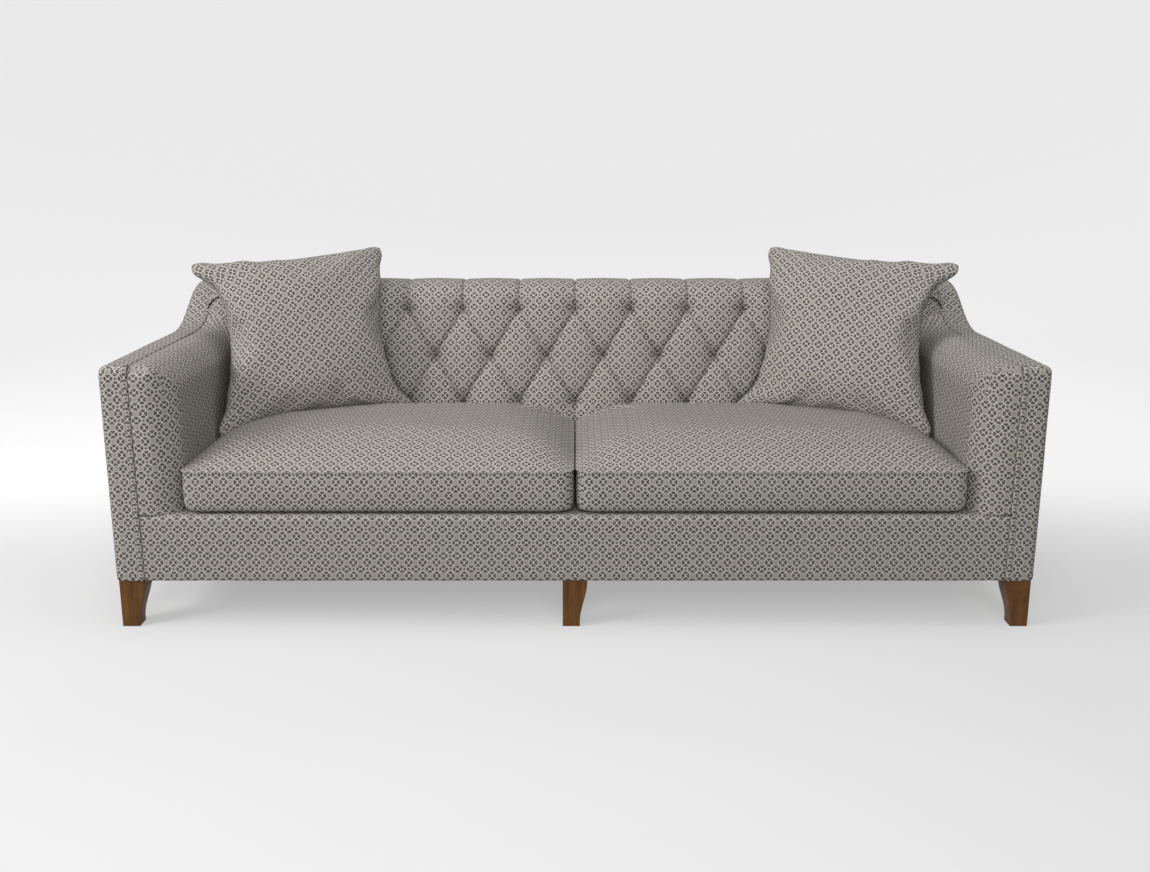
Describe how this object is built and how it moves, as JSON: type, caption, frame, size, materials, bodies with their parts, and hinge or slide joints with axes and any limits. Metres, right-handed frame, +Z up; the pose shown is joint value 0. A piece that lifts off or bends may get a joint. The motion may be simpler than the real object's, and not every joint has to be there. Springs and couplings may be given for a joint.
{
  "type": "four-seater sofa",
  "caption": "Upholstered sofa with a diamond-buttoned back, arms that sweep up to the back, loose seat and scatter cushions and short wooden legs.",
  "frame": {"origin": "on the floor, under the middle of the sofa's length and depth", "axes": "+X to the right seen from the front along the length, +Y to the back, +Z up"},
  "size_m": [2.3, 0.94, 0.895],
  "materials": {
    "patterned_fabric": "woven small floret pattern in charcoal, grey and beige",
    "leg_wood": "mid-brown stain, satin",
    "frame_wood": "sawn softwood",
    "plywood": "plain",
    "webbing": "woven elastic strap",
    "filling": "foam and fibre",
    "deck_cloth": "plain cloth",
    "dust_cloth": "non-woven cloth",
    "zinc_steel": "zinc plated",
    "glide_plastic": "moulded"
  },
  "bodies": {
    "frame": {"arm_back_post_left": "frame_wood", "arm_back_post_right": "frame_wood", "arm_bolts": "zinc_steel", "arm_bottom_rail_left": "frame_wood", "arm_bottom_rail_right": "frame_wood", "arm_cover_left": "patterned_fabric", "arm_cover_right": "patterned_fabric", "arm_front_post_left": "frame_wood", "arm_front_post_right": "frame_wood", "arm_inner_side_left": "plywood", "arm_inner_side_right": "plywood", "arm_middle_post_left": "frame_wood", "arm_middle_post_right": "frame_wood", "arm_outer_side_left": "plywood", "arm_outer_side_right": "plywood", "arm_pad_left": "patterned_fabric", "arm_pad_right": "patterned_fabric", "arm_top_rail_left": "frame_wood", "arm_top_rail_right": "frame_wood", "arm_welt_left": "patterned_fabric", "arm_welt_right": "patterned_fabric", "back_buttons": "patterned_fabric", "back_end_upright_left": "plywood", "back_end_upright_right": "plywood", "back_lower_rail": "frame_wood", "back_middle_uprights": "plywood", "back_pad": "patterned_fabric", "back_top_rail": "frame_wood", "back_webbing": "webbing", "base_back_rail": "frame_wood", "base_centre_rail": "frame_wood", "base_cross_rails": "frame_wood", "base_end_rail_left": "frame_wood", "base_end_rail_right": "frame_wood", "base_front_border": "patterned_fabric", "base_front_rail": "frame_wood", "corner_blocks": "frame_wood", "dust_cover": "dust_cloth", "leg_back_centre": "leg_wood", "leg_back_left": "leg_wood", "leg_back_right": "leg_wood", "leg_bolts": "zinc_steel", "leg_front_centre": "leg_wood", "leg_front_left": "leg_wood", "leg_front_right": "leg_wood", "leg_glides": "glide_plastic", "leg_tnuts": "zinc_steel", "outer_back_cover": "patterned_fabric", "seat_deck": "deck_cloth", "seat_webbing_cross": "webbing", "seat_webbing_long": "webbing"},
    "seat_cushion_left": {"seat_cover_left": "patterned_fabric", "seat_foam_left": "filling"},
    "seat_cushion_right": {"seat_cover_right": "patterned_fabric", "seat_foam_right": "filling"},
    "scatter_cushion_left": {"scatter_cover_left": "patterned_fabric", "scatter_filling_left": "filling"},
    "scatter_cushion_right": {"scatter_cover_right": "patterned_fabric", "scatter_filling_right": "filling"}
  },
  "joints": [
    {"name": "seat_lift_left", "type": "slide", "parent": "frame", "child": "seat_cushion_left", "axis": [0, 0, 1], "range_m": [0, 0.6]},
    {"name": "scatter_lift_left", "type": "slide", "parent": "seat_cushion_left", "child": "scatter_cushion_left", "axis": [0, 0, 1], "range_m": [0, 0.45]},
    {"name": "seat_lift_right", "type": "slide", "parent": "frame", "child": "seat_cushion_right", "axis": [0, 0, 1], "range_m": [0, 0.6]},
    {"name": "scatter_lift_right", "type": "slide", "parent": "seat_cushion_right", "child": "scatter_cushion_right", "axis": [0, 0, 1], "range_m": [0, 0.45]}
  ]
}
